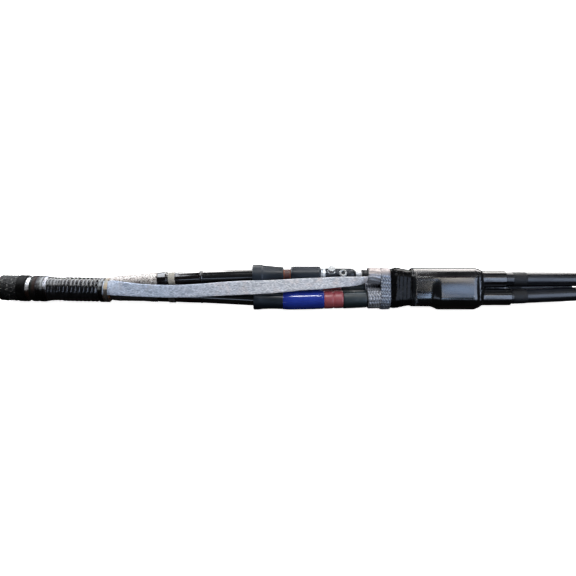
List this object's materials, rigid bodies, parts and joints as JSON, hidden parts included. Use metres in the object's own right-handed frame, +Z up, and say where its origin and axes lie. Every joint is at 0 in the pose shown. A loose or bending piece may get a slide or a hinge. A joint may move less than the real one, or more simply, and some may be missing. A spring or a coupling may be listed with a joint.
{
  "type": "transition cable joint",
  "caption": "Straight joint, shown opened, from an armoured paper insulated cable to separate polymer cables, with connectors, earth braid and breakout boot.",
  "frame": {"origin": "on the surface the joint lies on, below the middle of its bounding box", "axes": "+X along the joint towards the single-core cables, +Z up, with the core that carries the open connector uppermost"},
  "size_m": [1.3695, 0.1026, 0.1039],
  "materials": {
    "jute": "bituminised jute yarn, matt with a tarry gloss",
    "serving_tape": "bitumen tape, smooth satin",
    "galvanised_steel": "galvanised steel tape",
    "bedding": "tarred paper bedding",
    "lead": "dull extruded lead",
    "paper": "oil soaked kraft paper",
    "rubber_tape": "self-bonding rubber tape, satin",
    "end_tape": "black tape with a green cast",
    "spring_steel": "bright spring steel strip",
    "tinned_braid": "tinned copper braid",
    "tinned_mesh": "knitted tinned copper mesh",
    "cord": "waxed cotton cord, cream",
    "mastic": "brown sealing mastic",
    "copper": "stranded copper",
    "bare_aluminium": "stranded aluminium",
    "paper_core": "oil soaked core paper",
    "oil_barrier": "shrunk black tube, glossy",
    "stress_black": "shrunk stress control tube, glossy black",
    "cone_grey": "shrunk slate grey sleeve, satin",
    "red_brown_tube": "shrunk reddish brown insulating tube",
    "red_tube": "shrunk dusty red insulating tube",
    "dark_sleeve": "shrunk dark slate sleeve, satin",
    "green_grey_sleeve": "shrunk dark green-grey sleeve, satin",
    "blue_sleeve": "shrunk royal blue sleeve, glossy",
    "connector_metal": "dark coated aluminium alloy, machined spot faces bright",
    "bolt_metal": "bright tinned shear bolt",
    "core_black": "black semiconducting screen over white insulation",
    "cable_black": "black polymer sheath, satin",
    "cuff_braid": "coarse tinned copper braid",
    "wrap_black": "wrinkled black mastic tape",
    "boot_black": "shrunk moulded boot, glossy black",
    "finger_tape": "matt black tape"
  },
  "bodies": {
    "root": {"jute_serving": "jute", "serving_end_tape": "serving_tape", "steel_tape_armour": "galvanised_steel", "armour_bedding": "bedding", "lead_sheath": "lead", "belt_paper": "paper", "armour_end_tape": "end_tape", "armour_bond_braid": "tinned_braid", "armour_roll_spring": "spring_steel", "sheath_tape": "rubber_tape", "sheath_roll_spring": "spring_steel", "crutch_cord_binding": "cord", "crutch_seal": "mastic", "earth_braid": "tinned_braid", "core_cord_bindings": "cord", "insulating_tube_top": "red_brown_tube", "insulating_tube_front": "red_tube", "insulating_tube_rear": "red_tube", "end_sleeve_top": "dark_sleeve", "end_sleeve_front": "green_grey_sleeve", "end_sleeve_rear": "green_grey_sleeve", "joint_sleeve_front": "blue_sleeve", "joint_sleeve_rear": "blue_sleeve", "shear_bolts": "bolt_metal", "screen_mesh_cuffs": "cuff_braid", "bundle_braid_band": "cuff_braid", "bundle_tape_wrap": "wrap_black", "breakout_boot": "boot_black", "finger_end_tapes": "finger_tape", "cable_sheath_tails": "cable_black", "paper_conductor_top": "copper", "paper_insulation_top": "paper_core", "core_mesh_top": "tinned_mesh", "oil_barrier_tube_top": "oil_barrier", "stress_tube_top": "stress_black", "stress_cone_top": "cone_grey", "connector_top": "connector_metal", "cable_conductor_top": "bare_aluminium", "cable_insulation_top": "core_black", "cable_sheath_top": "cable_black", "paper_conductor_front": "copper", "paper_insulation_front": "paper_core", "core_mesh_front": "tinned_mesh", "oil_barrier_tube_front": "oil_barrier", "stress_tube_front": "stress_black", "stress_cone_front": "cone_grey", "connector_front": "connector_metal", "cable_conductor_front": "bare_aluminium", "cable_insulation_front": "core_black", "cable_sheath_front": "cable_black", "paper_conductor_rear": "copper", "paper_insulation_rear": "paper_core", "core_mesh_rear": "tinned_mesh", "oil_barrier_tube_rear": "oil_barrier", "stress_tube_rear": "stress_black", "stress_cone_rear": "cone_grey", "connector_rear": "connector_metal", "cable_conductor_rear": "bare_aluminium", "cable_insulation_rear": "core_black", "cable_sheath_rear": "cable_black"}
  },
  "joints": []
}
